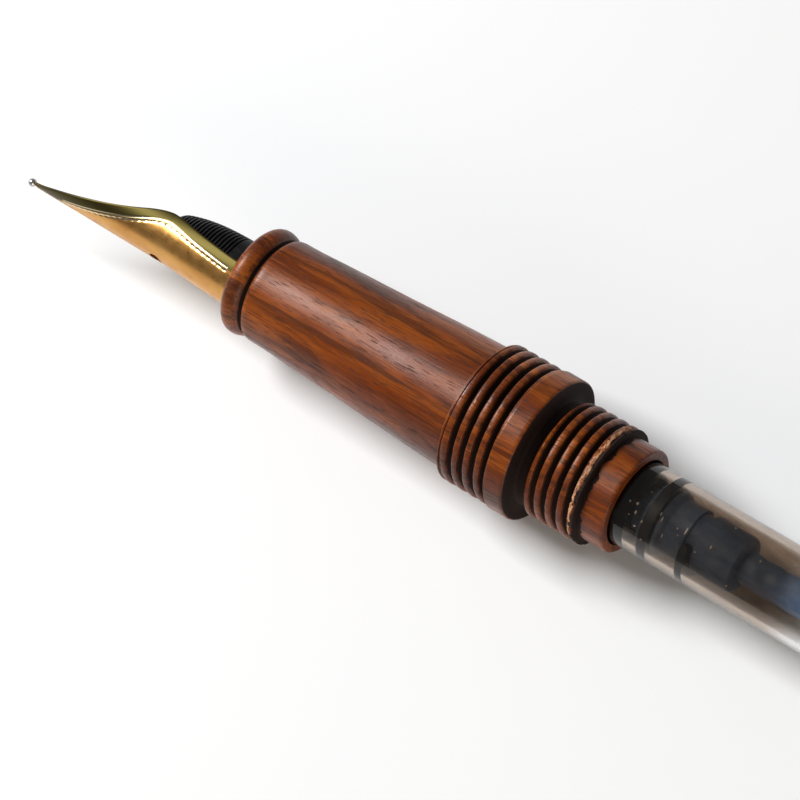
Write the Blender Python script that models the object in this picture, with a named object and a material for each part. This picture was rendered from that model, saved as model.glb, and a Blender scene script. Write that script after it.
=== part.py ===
"""Front half of a turned wooden fountain pen: nib unit, threaded grip section and piston converter.

The pen lies along X with the nib's tip at -X, the converter's knob at +X and the nib's spine facing -Y.
It rests on the floor, Z = 0, on the land behind its cap thread. Sizes are in millimetres. Places along
the pen, named s, run back from a point just in front of the wooden section.
"""

import math

import bmesh
import bpy

MM = 0.001
SIDES = 40  # flats around every turned piece, with one facing straight down
SPINE = math.pi  # the nib's spine faces -Y; angles around the pen are measured from +Y up to +Z

# Wooden grip section
SECTION_S = (0.5, 39.9)
BEAD_R = 4.84
BEAD_GROOVE_R = 4.2
GRIP_FLARE_R = 5.6
CAP_THREAD_R = 6.27
LAND_R = 6.37
LAND_S = (29.35, 31.2)
SEAT_INNER_R = 5.42
RELIEF_R = 4.62
RELIEF_END_S = 32.3
BARREL_THREAD_R = 5.22
REAR_LAND_R = 4.63
REAR_LAND_S = 37.45
THREAD_PITCH = 1.1
THREAD_ROWS = 8  # rows of points in one pitch
CAP_THREAD = {"groove_s": 25.28, "span": (25.1, 29.1), "depth": 0.62}
BARREL_THREAD = {"groove_s": 32.79, "span": (32.9, 37.0), "depth": 0.6}
CROWN_HEIGHT = 0.07  # how much each thread's crest is rounded
FRONT_BORE_R = 3.64
CONVERTER_BORE_R = 3.78
BORE_STEP_S = 15.6

# Nib, feed and the housing that holds them
NIB_REACH = 21.2
NIB_SHANK = 9.0
NIB_R = 3.24
NIB_THICKNESS = 0.25
BREATHER_REACH = 7.9
BREATHER_R = 0.6
SLIT_WIDTH = 0.14
TIPPING_R = 0.38
TIPPING_GAP = 0.02
TIP_REACH = NIB_REACH + TIPPING_GAP + 2 * TIPPING_R
FEED_STEM_R = 0.9
FEED_NOSE_REACH = 7.3
FEED_NOSE_END = 15.0
FEED_NOSE_DEPTH = 2.44
FEED_BODY_END_S = 12.7
FEED_STEM_END_S = 19.0
FIN_PITCH = 0.92
FIN_COUNT = 6
FIN_DEPTH = 0.5
HOUSING_OUTER_R = 3.59
HOUSING_INNER_R = 3.3
HOUSING_FRONT_S = 0.75
HOUSING_WALL_S = (13.1, 15.0)
NIPPLE_R = 1.3
NIPPLE_BORE_R = 0.96
NIPPLE_END_S = 21.5

# Piston converter
CONVERTER_S = (18.2, 90.7)
TUBE_R = 3.7
TUBE_BORE_R = 3.1
TUBE_END_S = 67.2
NECK_R = 2.9
NECK_END_S = 22.2
MOUTH_R = 1.34
FERRULE_R = 3.95
FERRULE_S = (64.5, 71.2)
SEAL_R = 3.04
FRONT_SEAL_S = (42.3, 43.4)
REAR_SEAL_S = (46.05, 46.95)
REAR_SEAL_ARC = (119.0, 324.0)  # degrees; the rear seal is a split ring, open on its upper side
CORE_S = (40.2, 50.6)
CORE_NOSE_R = 1.9
CORE_NOSE_END_S = 42.0
CORE_R = 2.85
CORE_WAIST_R = 2.45
CORE_GROOVE_R = 2.2
ROD_R = 1.6
ROD_FLAT = 1.25  # from the axis to each of the rod's two flats
ROD_END_S = 81.8
GUIDE_S = (58.4, 66.9)
GUIDE_FLOOR_END_S = 60.6
SPINDLE_R = 2.4
SPINDLE_BORE_R = 1.66
SPINDLE_S = (60.9, 89.5)
SPINDLE_FLANGE_S = (67.5, 68.6)
KNOB_R = 3.4
KNOB_FRONT_S = 71.5
KNOB_FLUTE_DEPTH = 0.14
KNOB_GRIP_S = (73.6, 88.6)
RUNNING_GAP = 0.05

REST_HEIGHT = LAND_R * math.cos(math.pi / SIDES)
MIDDLE_S = (CONVERTER_S[1] - TIP_REACH) / 2


def clear_scene():
    for thing in list(bpy.data.objects):
        bpy.data.objects.remove(thing, do_unlink=True)


def plastic(name, colour, roughness, metallic=0.0, alpha=1.0):
    """A plain Principled material."""
    material = bpy.data.materials.new(name)
    material.use_nodes = True
    shader = material.node_tree.nodes["Principled BSDF"]
    shader.inputs["Base Color"].default_value = (*colour, 1.0)
    shader.inputs["Roughness"].default_value = roughness
    shader.inputs["Metallic"].default_value = metallic
    shader.inputs["Alpha"].default_value = alpha
    return material


def mesh_object(name, points, faces, material, parent):
    """A closed mesh from points (s, across, up) in millimetres about the pen's axis."""
    shape = bmesh.new()
    corners = [shape.verts.new(point) for point in points]
    for face in faces:
        shape.faces.new([corners[index] for index in face])
    bmesh.ops.recalc_face_normals(shape, faces=shape.faces)
    bmesh.ops.scale(shape, vec=(MM, MM, MM), verts=shape.verts)
    mesh = bpy.data.meshes.new(name)
    shape.to_mesh(mesh)
    shape.free()
    thing = bpy.data.objects.new(name, mesh)
    thing.data.materials.append(material)
    thing.parent = parent
    bpy.context.scene.collection.objects.link(thing)
    return thing


def body_origin(name, s):
    """An empty on the pen's axis at s, which carries one body's pieces."""
    empty = bpy.data.objects.new(name, None)
    empty.location = ((s - MIDDLE_S) * MM, 0.0, REST_HEIGHT * MM)
    bpy.context.scene.collection.objects.link(empty)
    return empty


def angle_of(side):
    """The angle of a corner, from +Y up to +Z. The half step turns a flat to face straight down."""
    return 2 * math.pi * (side + 0.5) / SIDES


def turned(name, profile, material, parent, radius=None, offset=None):
    """A piece turned about the pen's axis. The profile is a closed loop of (s, r), and a point with r = 0
    is on the axis. radius(s, r, angle), if given, changes a point's radius around the turn, and offset(s)
    carries a ring away from the axis, along Y."""
    shift = parent.location.x / MM + MIDDLE_S
    points = []
    rings = []
    for s, r in profile:
        across = offset(s) if offset else 0.0
        if r == 0.0:
            rings.append([len(points)] * SIDES)
            points.append((s - shift, across, 0.0))
            continue
        rings.append(list(range(len(points), len(points) + SIDES)))
        for side in range(SIDES):
            angle = angle_of(side)
            here = radius(s, r, angle) if radius else r
            points.append((s - shift, across + here * math.cos(angle), here * math.sin(angle)))
    faces = []
    for first, second in zip(rings, rings[1:] + rings[:1]):
        for side in range(SIDES):
            after = (side + 1) % SIDES
            face = [first[side], first[after], second[after], second[side]]
            face = list(dict.fromkeys(face))
            if len(face) > 2:
                faces.append(face)
    return mesh_object(name, points, faces, material, parent)


def smoothstep(low, high, value):
    t = min(max((value - low) / (high - low), 0.0), 1.0)
    return t * t * (3 - 2 * t)


def thread_cut(s, angle, thread):
    """How far a right-hand thread's groove cuts below the crest at this place."""
    phase = (s - thread["groove_s"]) / THREAD_PITCH - angle / (2 * math.pi)
    wave = 0.5 + 0.5 * math.cos(2 * math.pi * phase)
    crown = CROWN_HEIGHT * smoothstep(0.0, 0.6, wave)
    wall = (thread["depth"] - CROWN_HEIGHT) * max(0.0, (wave - 0.45) / 0.55) ** 0.8
    start, end = thread["span"]
    fade = smoothstep(start - 0.35, start, s) * (1 - smoothstep(end, end + 0.3, s))
    return fade * (crown + wall)


def section_radius(s, r, angle):
    """The turned radius with both threads' grooves cut into it. The bores and the rear land are left alone."""
    if r <= REAR_LAND_R:
        return r
    thread = CAP_THREAD if s < LAND_S[1] else BARREL_THREAD
    return r - thread_cut(s, angle, thread)


def rows(start, end, step):
    count = max(1, round((end - start) / step))
    return [start + (end - start) * index / count for index in range(count + 1)]


def grip_section(material, parent):
    """The turned wooden section: bead, groove, flared grip, cap thread, land, relief, barrel thread."""
    start, end = SECTION_S
    step = THREAD_PITCH / THREAD_ROWS
    outside = [(start, 4.0), (start + 0.1, 4.35), (start + 0.35, 4.67), (start + 0.7, BEAD_R)]
    outside += [(1.65, BEAD_R), (2.1, 4.66), (2.38, 4.36), (2.5, BEAD_GROOVE_R), (2.72, BEAD_GROOVE_R)]
    outside += [(2.86, 4.5), (3.2, 4.66), (5.0, 4.68), (8.0, 4.85), (12.0, 5.02), (16.0, 5.22)]
    outside += [(20.0, 5.44), (24.0, GRIP_FLARE_R), (24.4, GRIP_FLARE_R + 0.02)]
    outside += [(24.5, CAP_THREAD_R - 0.2)]
    outside += [(s, CAP_THREAD_R) for s in rows(24.65, LAND_S[0] - 0.1, step)]
    outside += [(LAND_S[0], LAND_R), (LAND_S[0] + 0.25, LAND_R)]
    outside += [(LAND_S[1] - 0.12, LAND_R), (LAND_S[1], LAND_R - 0.12)]
    outside += [(LAND_S[1], SEAT_INNER_R), (LAND_S[1] + 0.25, RELIEF_R), (RELIEF_END_S, RELIEF_R)]
    outside += [(RELIEF_END_S + 0.2, BARREL_THREAD_R - 0.15)]
    outside += [(s, BARREL_THREAD_R) for s in rows(RELIEF_END_S + 0.4, REAR_LAND_S - 0.1, step)]
    outside += [(REAR_LAND_S, REAR_LAND_R), (end - 0.15, REAR_LAND_R), (end, REAR_LAND_R - 0.15)]
    inside = [(end, CONVERTER_BORE_R), (BORE_STEP_S, CONVERTER_BORE_R)]
    inside += [(BORE_STEP_S, FRONT_BORE_R), (start, FRONT_BORE_R)]
    return turned("grip_section", outside + inside, material, parent, section_radius)


def nib_housing(material, parent):
    """The sleeve that grips the nib and feed, with the nipple that the converter plugs onto."""
    wall_start, wall_end = HOUSING_WALL_S
    profile = [(HOUSING_FRONT_S, HOUSING_INNER_R), (HOUSING_FRONT_S, HOUSING_OUTER_R)]
    profile += [(wall_end, HOUSING_OUTER_R), (wall_end + 0.4, NIPPLE_R + 0.9)]
    profile += [(17.4, NIPPLE_R + 0.9), (17.6, NIPPLE_R)]
    profile += [(NIPPLE_END_S - 0.3, NIPPLE_R), (NIPPLE_END_S, NIPPLE_R - 0.15)]
    profile += [(NIPPLE_END_S, NIPPLE_BORE_R), (wall_start, NIPPLE_BORE_R), (wall_start, HOUSING_INNER_R)]
    return turned("nib_housing", profile, material, parent)


def nib_spine_r(reach):
    """The nib's radius along its spine, reach millimetres in front of the section."""
    return NIB_R - 0.055 * min(max(reach, 0.0), 7.2) - 0.008 * max(reach - 7.2, 0.0)


NIB_HALF_WRAP = [
    (-NIB_SHANK, 84.0),
    (0.0, 87.0),
    (2.5, 91.5),
    (4.5, 96.5),
    (6.3, 102.5),
    (7.4, 105.0),
    (8.2, 102.0),
    (9.1, 95.5),
    (11.0, 78.5),
    (13.2, 62.0),
    (15.2, 48.5),
    (17.2, 35.5),
    (19.0, 23.5),
    (20.4, 12.5),
    (NIB_REACH, 7.5),
]


def nib(material, parent):
    """The curved nib: a sheet wrapped round the pen's axis, with its breather hole and slit cut out."""
    columns = 12
    shift = parent.location.x / MM + MIDDLE_S
    points = []
    for depth in (0.0, NIB_THICKNESS):
        for reach, wrap in NIB_HALF_WRAP:
            for column in range(columns + 1):
                angle = SPINE + math.radians(wrap) * (2 * column / columns - 1)
                r = nib_spine_r(reach) - depth
                points.append((-reach - shift, r * math.cos(angle), r * math.sin(angle)))
    width = columns + 1
    layer = width * len(NIB_HALF_WRAP)
    faces = []
    for row in range(len(NIB_HALF_WRAP) - 1):
        for column in range(columns):
            a = row * width + column
            faces.append([a, a + 1, a + width + 1, a + width])
            faces.append([layer + a, layer + a + width, layer + a + width + 1, layer + a + 1])
        for edge in (row * width, row * width + columns):
            faces.append([edge, edge + width, layer + edge + width, layer + edge])
    for end in (0, layer - width):
        for column in range(columns):
            a = end + column
            faces.append([a, a + 1, layer + a + 1, layer + a])
    sheet = mesh_object("nib", points, faces, material, parent)
    slit = sheet.modifiers.new("slit and breather hole", "BOOLEAN")
    slit.operation = "DIFFERENCE"
    slit.object = slit_cutter(parent)
    return sheet


def slit_cutter(parent):
    """A keyhole-shaped bar through the spine: the round breather hole, and the slit out past the tip."""
    sides = 18
    half = SLIT_WIDTH / 2
    start = math.asin(half / BREATHER_R)
    outline = [(-NIB_REACH - 1.0, -half), (-NIB_REACH - 1.0, half)]
    for side in range(sides + 1):
        angle = start + (2 * math.pi - 2 * start) * side / sides
        outline.append((-BREATHER_REACH - BREATHER_R * math.cos(angle), BREATHER_R * math.sin(angle)))
    shift = parent.location.x / MM + MIDDLE_S
    points = [(s - shift, across, up) for across in (-NIB_R - 1.0, -1.0) for s, up in outline]
    count = len(outline)
    faces = [list(range(count)), list(range(2 * count - 1, count - 1, -1))]
    for corner in range(count):
        after = (corner + 1) % count
        faces.append([corner, corner + count, after + count, after])
    cutter = mesh_object("slit_cutter", points, faces, None, parent)
    cutter.hide_render = True
    cutter.display_type = "WIRE"
    return cutter


def nib_tipping(material, parent):
    """The hard writing point, a small ball just ahead of the tines."""
    centre = (TIPPING_R - TIP_REACH, -nib_spine_r(NIB_REACH) + NIB_THICKNESS / 2, 0.0)
    shape = bmesh.new()
    bmesh.ops.create_uvsphere(shape, u_segments=16, v_segments=10, radius=TIPPING_R * MM)
    mesh = bpy.data.meshes.new("nib_tipping")
    shape.to_mesh(mesh)
    shape.free()
    ball = bpy.data.objects.new("nib_tipping", mesh)
    ball.data.materials.append(material)
    ball.parent = parent
    shift = parent.location.x / MM + MIDDLE_S
    ball.location = ((centre[0] - shift) * MM, centre[1] * MM, centre[2] * MM)
    bpy.context.scene.collection.objects.link(ball)
    return ball


def feed_top(reach):
    """The height of the feed's finned side, falling towards the front."""
    return 2.64 - 0.0021 * reach ** 3


def feed_nose_r(reach):
    """The radius of the nose in front of the fins."""
    return 1.7 - 0.2 * (reach - FEED_NOSE_REACH)


def feed_offset(s):
    """The nose lies in the nib's trough, off the pen's axis."""
    if -s < FEED_NOSE_REACH:
        return 0.0
    return feed_nose_r(-s) - FEED_NOSE_DEPTH


def feed_radius(s, r, angle):
    """The feed fills the nib's trough on the spine side and the housing's bore on the other."""
    reach = -s
    if r <= FEED_STEM_R or reach >= FEED_NOSE_REACH:
        return r
    off_spine = abs(math.remainder(angle - SPINE, 2 * math.pi))
    under_nib = nib_spine_r(reach) - NIB_THICKNESS - 0.07
    blend = smoothstep(math.radians(80.0), math.radians(104.0), off_spine)
    return under_nib * (1 - blend) + r * blend


def feed(material, parent):
    """The finned feed under the nib, its body in the housing and its stem in the nipple."""
    profile = [(-FEED_NOSE_END, 0.0)]
    for reach in (FEED_NOSE_END - 0.1, 13.4, 11.8, 10.2, 8.7, FEED_NOSE_REACH):
        profile.append((-reach, feed_nose_r(reach)))
    for fin in range(FIN_COUNT):
        front = FIN_PITCH * (FIN_COUNT - fin) + 1.2
        back = front - FIN_PITCH / 2
        profile += [(-front, feed_top(front) - FIN_DEPTH), (-front + 0.02, feed_top(front))]
        profile += [(-back, feed_top(back)), (-back + 0.02, feed_top(back) - FIN_DEPTH)]
    profile += [(-0.9, feed_top(0.9) - FIN_DEPTH), (-0.88, feed_top(0.88)), (0.85, 2.64), (0.9, 3.2)]
    profile += [(FEED_BODY_END_S, 3.2), (FEED_BODY_END_S, FEED_STEM_R)]
    profile += [(FEED_STEM_END_S, FEED_STEM_R), (FEED_STEM_END_S, 0.0)]
    return turned("feed", profile, material, parent, feed_radius, feed_offset)


def converter_tube(material, parent):
    """The clear barrel of the converter, narrowed to a mouth that fits the nipple."""
    start = CONVERTER_S[0]
    profile = [(start, MOUTH_R), (start, NECK_R - 0.25), (start + 0.25, NECK_R), (NECK_END_S, NECK_R)]
    profile += [(NECK_END_S + 0.5, TUBE_R - 0.2), (NECK_END_S + 0.8, TUBE_R), (TUBE_END_S, TUBE_R)]
    profile += [(TUBE_END_S, TUBE_BORE_R), (NECK_END_S + 0.9, TUBE_BORE_R), (NECK_END_S + 0.2, 2.25)]
    profile += [(start + 1.8, 2.25), (start + 1.6, MOUTH_R)]
    return turned("converter_tube", profile, material, parent)


def ferrule(material, parent):
    """The metal band that holds the knob's spindle to the tube's end."""
    start, end = FERRULE_S
    profile = [(start, TUBE_R + 0.04), (start, FERRULE_R - 0.12), (start + 0.15, FERRULE_R)]
    profile += [(end - 0.8, FERRULE_R), (end - 0.7, FERRULE_R - 0.18), (end - 0.45, FERRULE_R - 0.18)]
    profile += [(end - 0.35, FERRULE_R), (end - 0.1, FERRULE_R), (end, FERRULE_R - 0.15)]
    profile += [(end, SPINDLE_R + RUNNING_GAP), (69.1, SPINDLE_R + RUNNING_GAP), (69.1, 3.05)]
    profile += [(TUBE_END_S + 0.15, 3.05), (TUBE_END_S + 0.15, TUBE_R + 0.04)]
    return turned("ferrule", profile, material, parent)


def rod_bore(s, r, angle):
    """Two flats in the guide's hole stop the piston rod from turning."""
    if r > ROD_R + 0.1:
        return r
    return min(r, (ROD_FLAT + RUNNING_GAP) / max(abs(math.cos(angle)), 1e-6))


def rod_guide(material, parent):
    """The bush inside the tube's rear end, whose flatted hole keeps the rod from turning."""
    start, end = GUIDE_S
    hole = ROD_R + RUNNING_GAP
    outer = TUBE_BORE_R - RUNNING_GAP
    profile = [(start, hole), (start, outer - 0.1), (start + 0.1, outer), (end, outer)]
    profile += [(end, SPINDLE_R + RUNNING_GAP), (GUIDE_FLOOR_END_S, SPINDLE_R + RUNNING_GAP)]
    profile += [(GUIDE_FLOOR_END_S, hole)]
    return turned("rod_guide", profile, material, parent, rod_bore)


def plunger_core(material, parent):
    """The spool that carries both seals, with a nose in front and a blind socket for the rod behind."""
    start, end = CORE_S
    profile = [(start, 0.0), (start, CORE_NOSE_R - 0.3), (start + 0.3, CORE_NOSE_R)]
    profile += [(CORE_NOSE_END_S, CORE_NOSE_R), (CORE_NOSE_END_S, CORE_R - 0.1)]
    profile += [(FRONT_SEAL_S[0] - 0.06, CORE_R - 0.1), (FRONT_SEAL_S[0] - 0.06, CORE_GROOVE_R)]
    profile += [(FRONT_SEAL_S[1] + 0.06, CORE_GROOVE_R), (FRONT_SEAL_S[1] + 0.06, CORE_R)]
    profile += [(FRONT_SEAL_S[1] + 0.45, CORE_R), (FRONT_SEAL_S[1] + 0.75, CORE_WAIST_R)]
    profile += [(REAR_SEAL_S[0] - 0.06, CORE_WAIST_R), (REAR_SEAL_S[0] - 0.06, CORE_GROOVE_R)]
    profile += [(REAR_SEAL_S[1] + 0.06, CORE_GROOVE_R), (REAR_SEAL_S[1] + 0.06, CORE_WAIST_R)]
    profile += [(end - 0.2, CORE_WAIST_R), (end, CORE_WAIST_R - 0.2), (end, 1.14), (45.8, 1.14), (45.8, 0.0)]
    return turned("plunger_core", profile, material, parent)


def seal_profile(span):
    """A rubber ring's section, with a rounded lip that wipes the tube's bore."""
    start, end = span
    inner = CORE_GROOVE_R + RUNNING_GAP
    profile = [(start, inner), (start, SEAL_R - 0.22), (start + 0.12, SEAL_R - 0.05), (start + 0.3, SEAL_R)]
    profile += [(end - 0.3, SEAL_R), (end - 0.12, SEAL_R - 0.05), (end, SEAL_R - 0.22), (end, inner)]
    return profile


def front_seal(material, parent):
    """The full ring that holds back the ink."""
    return turned("front_seal", seal_profile(FRONT_SEAL_S), material, parent)


def rear_seal(material, parent):
    """The split ring behind it, with its two ends rounded off across the pen's length."""
    shift = parent.location.x / MM + MIDDLE_S
    profile = seal_profile(REAR_SEAL_S)
    middle_s = (REAR_SEAL_S[0] + REAR_SEAL_S[1]) / 2
    start, end = REAR_SEAL_ARC
    steps = 24
    arc = [(start, 0.5), (start + 3.0, 0.85)]
    arc += [(start + 8.0 + (end - start - 16.0) * step / steps, 1.0) for step in range(steps + 1)]
    arc += [(end - 3.0, 0.85), (end, 0.5)]
    points = []
    for degrees, width in arc:
        angle = math.radians(degrees)
        for s, r in profile:
            along = middle_s + (s - middle_s) * width
            points.append((along - shift, r * math.cos(angle), r * math.sin(angle)))
    count = len(profile)
    faces = [list(range(count)), list(range(len(points) - 1, len(points) - count - 1, -1))]
    for first in range(0, len(points) - count, count):
        for corner in range(count):
            after = (corner + 1) % count
            faces.append([first + corner, first + count + corner, first + count + after, first + after])
    return mesh_object("rear_seal", points, faces, material, parent)


def rod_radius(s, r, angle):
    if s < CORE_S[1]:
        return r
    return min(r, ROD_FLAT / max(abs(math.cos(angle)), 1e-6))


def piston_rod(material, parent):
    """The flatted rod that the knob's spindle drives, pressed into the plunger's socket."""
    profile = [(46.0, 0.0), (46.0, 1.1), (CORE_S[1] + 0.3, 1.1), (CORE_S[1] + 0.3, ROD_R)]
    profile += [(ROD_END_S - 0.3, ROD_R), (ROD_END_S, ROD_R - 0.3), (ROD_END_S, 0.0)]
    return turned("piston_rod", profile, material, parent, rod_radius)


def drive_spindle(material, parent):
    """The threaded sleeve fixed in the knob. Its flange is trapped inside the ferrule."""
    start, end = SPINDLE_S
    flange_start, flange_end = SPINDLE_FLANGE_S
    profile = [(start, SPINDLE_BORE_R), (start, SPINDLE_R), (flange_start, SPINDLE_R), (flange_start, 2.95)]
    profile += [(flange_end, 2.95), (flange_end, SPINDLE_R), (end, SPINDLE_R), (end, SPINDLE_BORE_R)]
    return turned("drive_spindle", profile, material, parent)


def flute(s, r, angle):
    """Every second corner of the knob's grip is cut in."""
    if r < KNOB_R or not KNOB_GRIP_S[0] < s < KNOB_GRIP_S[1]:
        return r
    side = round(angle / (2 * math.pi) * SIDES - 0.5)
    return r - KNOB_FLUTE_DEPTH * (side % 2)


def knob(material, parent):
    """The turning knob, hollow for the spindle and the rod."""
    start, end = KNOB_FRONT_S, CONVERTER_S[1]
    grip_start, grip_end = KNOB_GRIP_S
    bore = SPINDLE_R + 0.04
    profile = [(start, bore), (start, KNOB_R - 0.2), (start + 0.2, KNOB_R), (grip_start, KNOB_R)]
    profile += [(grip_start + 0.2, KNOB_R), (grip_end - 0.2, KNOB_R), (grip_end, KNOB_R)]
    profile += [(end - 0.5, KNOB_R), (end, KNOB_R - 0.4), (end, 0.0), (89.8, 0.0), (89.8, bore)]
    return turned("knob", profile, material, parent, flute)


def build():
    clear_scene()
    wood = plastic("turned_wood", (0.16, 0.05, 0.024), 0.35)
    black = plastic("black_plastic", (0.012, 0.012, 0.013), 0.3)
    gold = plastic("gold", (0.8, 0.55, 0.2), 0.15, metallic=1.0)
    hard_metal = plastic("tipping_metal", (0.6, 0.6, 0.58), 0.25, metallic=1.0)
    clear = plastic("clear_plastic", (0.75, 0.8, 0.85), 0.08, alpha=0.35)
    rubber = plastic("seal_rubber", (0.01, 0.01, 0.01), 0.5)
    grey = plastic("grey_plastic", (0.25, 0.27, 0.3), 0.35)
    chrome = plastic("chrome", (0.7, 0.7, 0.72), 0.08, metallic=1.0)

    section = body_origin("section_body", 0.0)
    grip_section(wood, section)
    nib_housing(black, section)

    nib_unit = body_origin("nib_unit_body", 0.0)
    nib(gold, nib_unit)
    nib_tipping(hard_metal, nib_unit)
    feed(black.copy(), nib_unit)

    converter = body_origin("converter_body", CONVERTER_S[0])
    converter_tube(clear, converter)
    ferrule(chrome, converter)
    rod_guide(black.copy(), converter)

    plunger = body_origin("plunger_body", CORE_S[0])
    plunger_core(grey, plunger)
    front_seal(rubber, plunger)
    rear_seal(rubber.copy(), plunger)
    piston_rod(grey.copy(), plunger)

    turning = body_origin("knob_body", KNOB_FRONT_S)
    drive_spindle(grey.copy(), turning)
    knob(black.copy(), turning)


build()
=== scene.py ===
import math

import bmesh
import bpy
from mathutils import Matrix, Vector, noise

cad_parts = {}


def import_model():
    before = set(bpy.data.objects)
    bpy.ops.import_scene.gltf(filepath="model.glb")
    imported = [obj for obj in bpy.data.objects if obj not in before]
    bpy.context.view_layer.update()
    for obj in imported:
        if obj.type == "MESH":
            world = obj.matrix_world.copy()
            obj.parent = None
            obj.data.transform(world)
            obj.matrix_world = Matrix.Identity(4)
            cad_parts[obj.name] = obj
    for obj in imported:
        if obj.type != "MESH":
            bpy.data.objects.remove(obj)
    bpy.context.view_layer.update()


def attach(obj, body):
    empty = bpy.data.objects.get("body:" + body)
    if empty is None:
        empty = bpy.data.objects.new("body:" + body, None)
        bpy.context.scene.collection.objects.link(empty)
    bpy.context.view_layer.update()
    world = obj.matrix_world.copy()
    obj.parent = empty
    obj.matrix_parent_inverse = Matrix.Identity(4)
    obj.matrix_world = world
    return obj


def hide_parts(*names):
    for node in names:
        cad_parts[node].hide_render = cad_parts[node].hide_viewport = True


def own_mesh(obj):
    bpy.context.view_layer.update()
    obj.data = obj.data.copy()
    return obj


# The looks of a wooden fountain pen's front half. Sizes are in millimetres. Places along the pen, named s,
# run back from a point just in front of the wooden section, and angles around it go from +Y up to +Z.

MM = 0.001
AXIS_Z = 6.3504  # height of the pen's axis above the floor
ORIGIN_S = 34.36  # the place along the pen that is at X = 0
SPINE = math.pi  # the nib's spine faces -Y
FINE_SIDES = 192
PLAIN_SIDES = 96
SECTION_SIDES = 256

# Wooden section
SECTION_END_S = 39.9
BEAD_OUTLINE = [
    (0.5, 4.0), (0.56, 4.25), (0.72, 4.52), (0.95, 4.73), (1.25, 4.83), (1.55, 4.83), (1.85, 4.76),
    (2.15, 4.62), (2.36, 4.42), (2.46, 4.26),
]
BEAD_GROOVE = [(2.52, 4.18), (2.6, 4.14), (2.66, 4.16)]
GRIP_OUTLINE = [
    (2.72, 4.24), (2.8, 4.42), (2.92, 4.56), (3.2, 4.64), (4.0, 4.66), (5.0, 4.69), (8.0, 4.85), (12.0, 5.02),
    (16.0, 5.22), (20.0, 5.44), (24.0, 5.6), (24.4, 5.62),
]
CAP_THREAD_R = 6.27
LAND_R = 6.37
LAND_S = (29.35, 31.2)
SEAT_INNER_R = 5.42
RELIEF_R = 4.62
RELIEF_END_S = 32.3
BARREL_THREAD_R = 5.22
REAR_LAND_R = 4.63
REAR_LAND_S = 37.45
THREAD_PITCH = 1.1
ROWS_PER_PITCH = 22
CAP_THREAD = {"groove_s": 25.28, "span": (25.1, 29.1), "depth": 0.62}
BARREL_THREAD = {"groove_s": 32.79, "span": (32.9, 37.0), "depth": 0.6}
CROWN_HEIGHT = 0.07
TORN_CREST_S = (36.9, 37.08)
# Ragged dark band behind the barrel thread: partly a burn stain, partly painted shade
BURNT_AND_SHADED_BAND_S = (37.2, 37.8)
FRONT_BORE_R = 3.64
CONVERTER_BORE_R = 3.78
BORE_STEP_S = 15.6

# Nib unit. A reach is a distance forward from s = 0.
HOUSING_R = 3.59
HOUSING_BORE_R = 3.3
HOUSING_S = (0.75, 15.0)
HOUSING_FLOOR_S = 13.1
NIPPLE_R = 1.3
NIPPLE_BORE_R = 0.96
NIPPLE_END_S = 21.5
NIB_REACH = 21.2
NIB_SHANK = 9.0
NIB_R = 3.24
NIB_THICKNESS = 0.25
NIB_SHOULDER_REACH = 7.2
NIB_REAR_SLOPE = 0.055  # how fast the spine falls towards the axis, up to the shoulder
NIB_FRONT_SLOPE = 0.008
NIB_ROW = 0.09
NIB_COLUMNS = 120
NIB_CREASE = 50.0
ENGRAVED_REACH = (0.4, 18.0)
OUTER_LINE = {"inset": 0.95, "half_width": 0.1, "depth": 0.03}
INNER_LINE = {"inset": 1.25, "half_width": 0.14, "depth": 0.05}
DIMPLE_PITCH = 0.62
BREATHER_REACH = 7.9
BREATHER_R = 0.6
SLIT_WIDTH = 0.14
TIPPING_R = 0.38
TIP_REACH = NIB_REACH + 0.02 + 2 * TIPPING_R
FIN_PITCH = 0.37
FIN_COUNT = 16
FIN_GAP = 0.13
FIN_DEPTH = 0.4
FINS_START_REACH = 1.25
FEED_BACK_R = 2.64
FEED_FALL = 0.0021  # the finned part's outline falls with the cube of the reach
FEED_NOSE_REACH = 7.3
FEED_TAPER_REACH = 8.9
FEED_NOSE_DEPTH = 2.44
FEED_NOSE_R = 1.7
FEED_NOSE_SLOPE = 0.2
FEED_END_REACH = 15.0
FEED_COLLAR_R = 3.2
FEED_COLLAR_S = (0.9, 12.7)
FEED_PIPE_R = 0.9
FEED_PIPE_END_S = 19.0

# Converter
TUBE_START_S = 18.2
TUBE_END_S = 67.2
TUBE_R = 3.7
TUBE_BORE_R = 3.1
NECK_R = 2.9
NECK_END_S = 22.2
INK_START_S = 23.2
INK_END_S = 41.0
INK_HOLE_R = 2.0
CORE_S = (40.2, 50.6)
CORE_NOSE_R = 1.9
CORE_NOSE_END_S = 42.0
FRONT_SEAL_S = (42.3, 43.4)
REAR_SEAL_S = (46.05, 46.95)
REAR_SEAL_ARC = (119.0, 324.0)
CORE_R = 2.85
CORE_WAIST_R = 2.45
CORE_GROOVE_R = 2.2
ROD_R = 1.6
ROD_FLAT = 1.25
ROD_END_S = 81.8
GUIDE_S = (58.4, 66.9)
SPINDLE_R = 2.4
SPINDLE_BORE_R = 1.66
SPINDLE_FLANGE_R = 2.95
DRIVE_THREAD = {"pitch": 2.0, "starts": 2, "depth": 0.16}  # pitch is from one crest to the next
FERRULE_R = 3.95
KNOB_R = 3.4
KNOB_BORE_R = 2.44
KNOB_END_S = 90.7
FLUTES = {"count": 20, "depth": 0.16, "span": (73.6, 88.6), "run_out": 0.3}

# Stage and camera, in metres
FLOOR_Z = -0.00003
FLOOR_HALF_SIDE = 1.5
CAMERA_PLACE = (0.14758, -0.08024, 0.37136)
LENS_MM = 225.0
SENSOR_MM = 36.0


def point(s, angle, r):
    """The place in metres of a point at s, at this angle and radius about the pen's axis."""
    return Vector(((s - ORIGIN_S) * MM, r * math.cos(angle) * MM, (AXIS_Z + r * math.sin(angle)) * MM))


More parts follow.
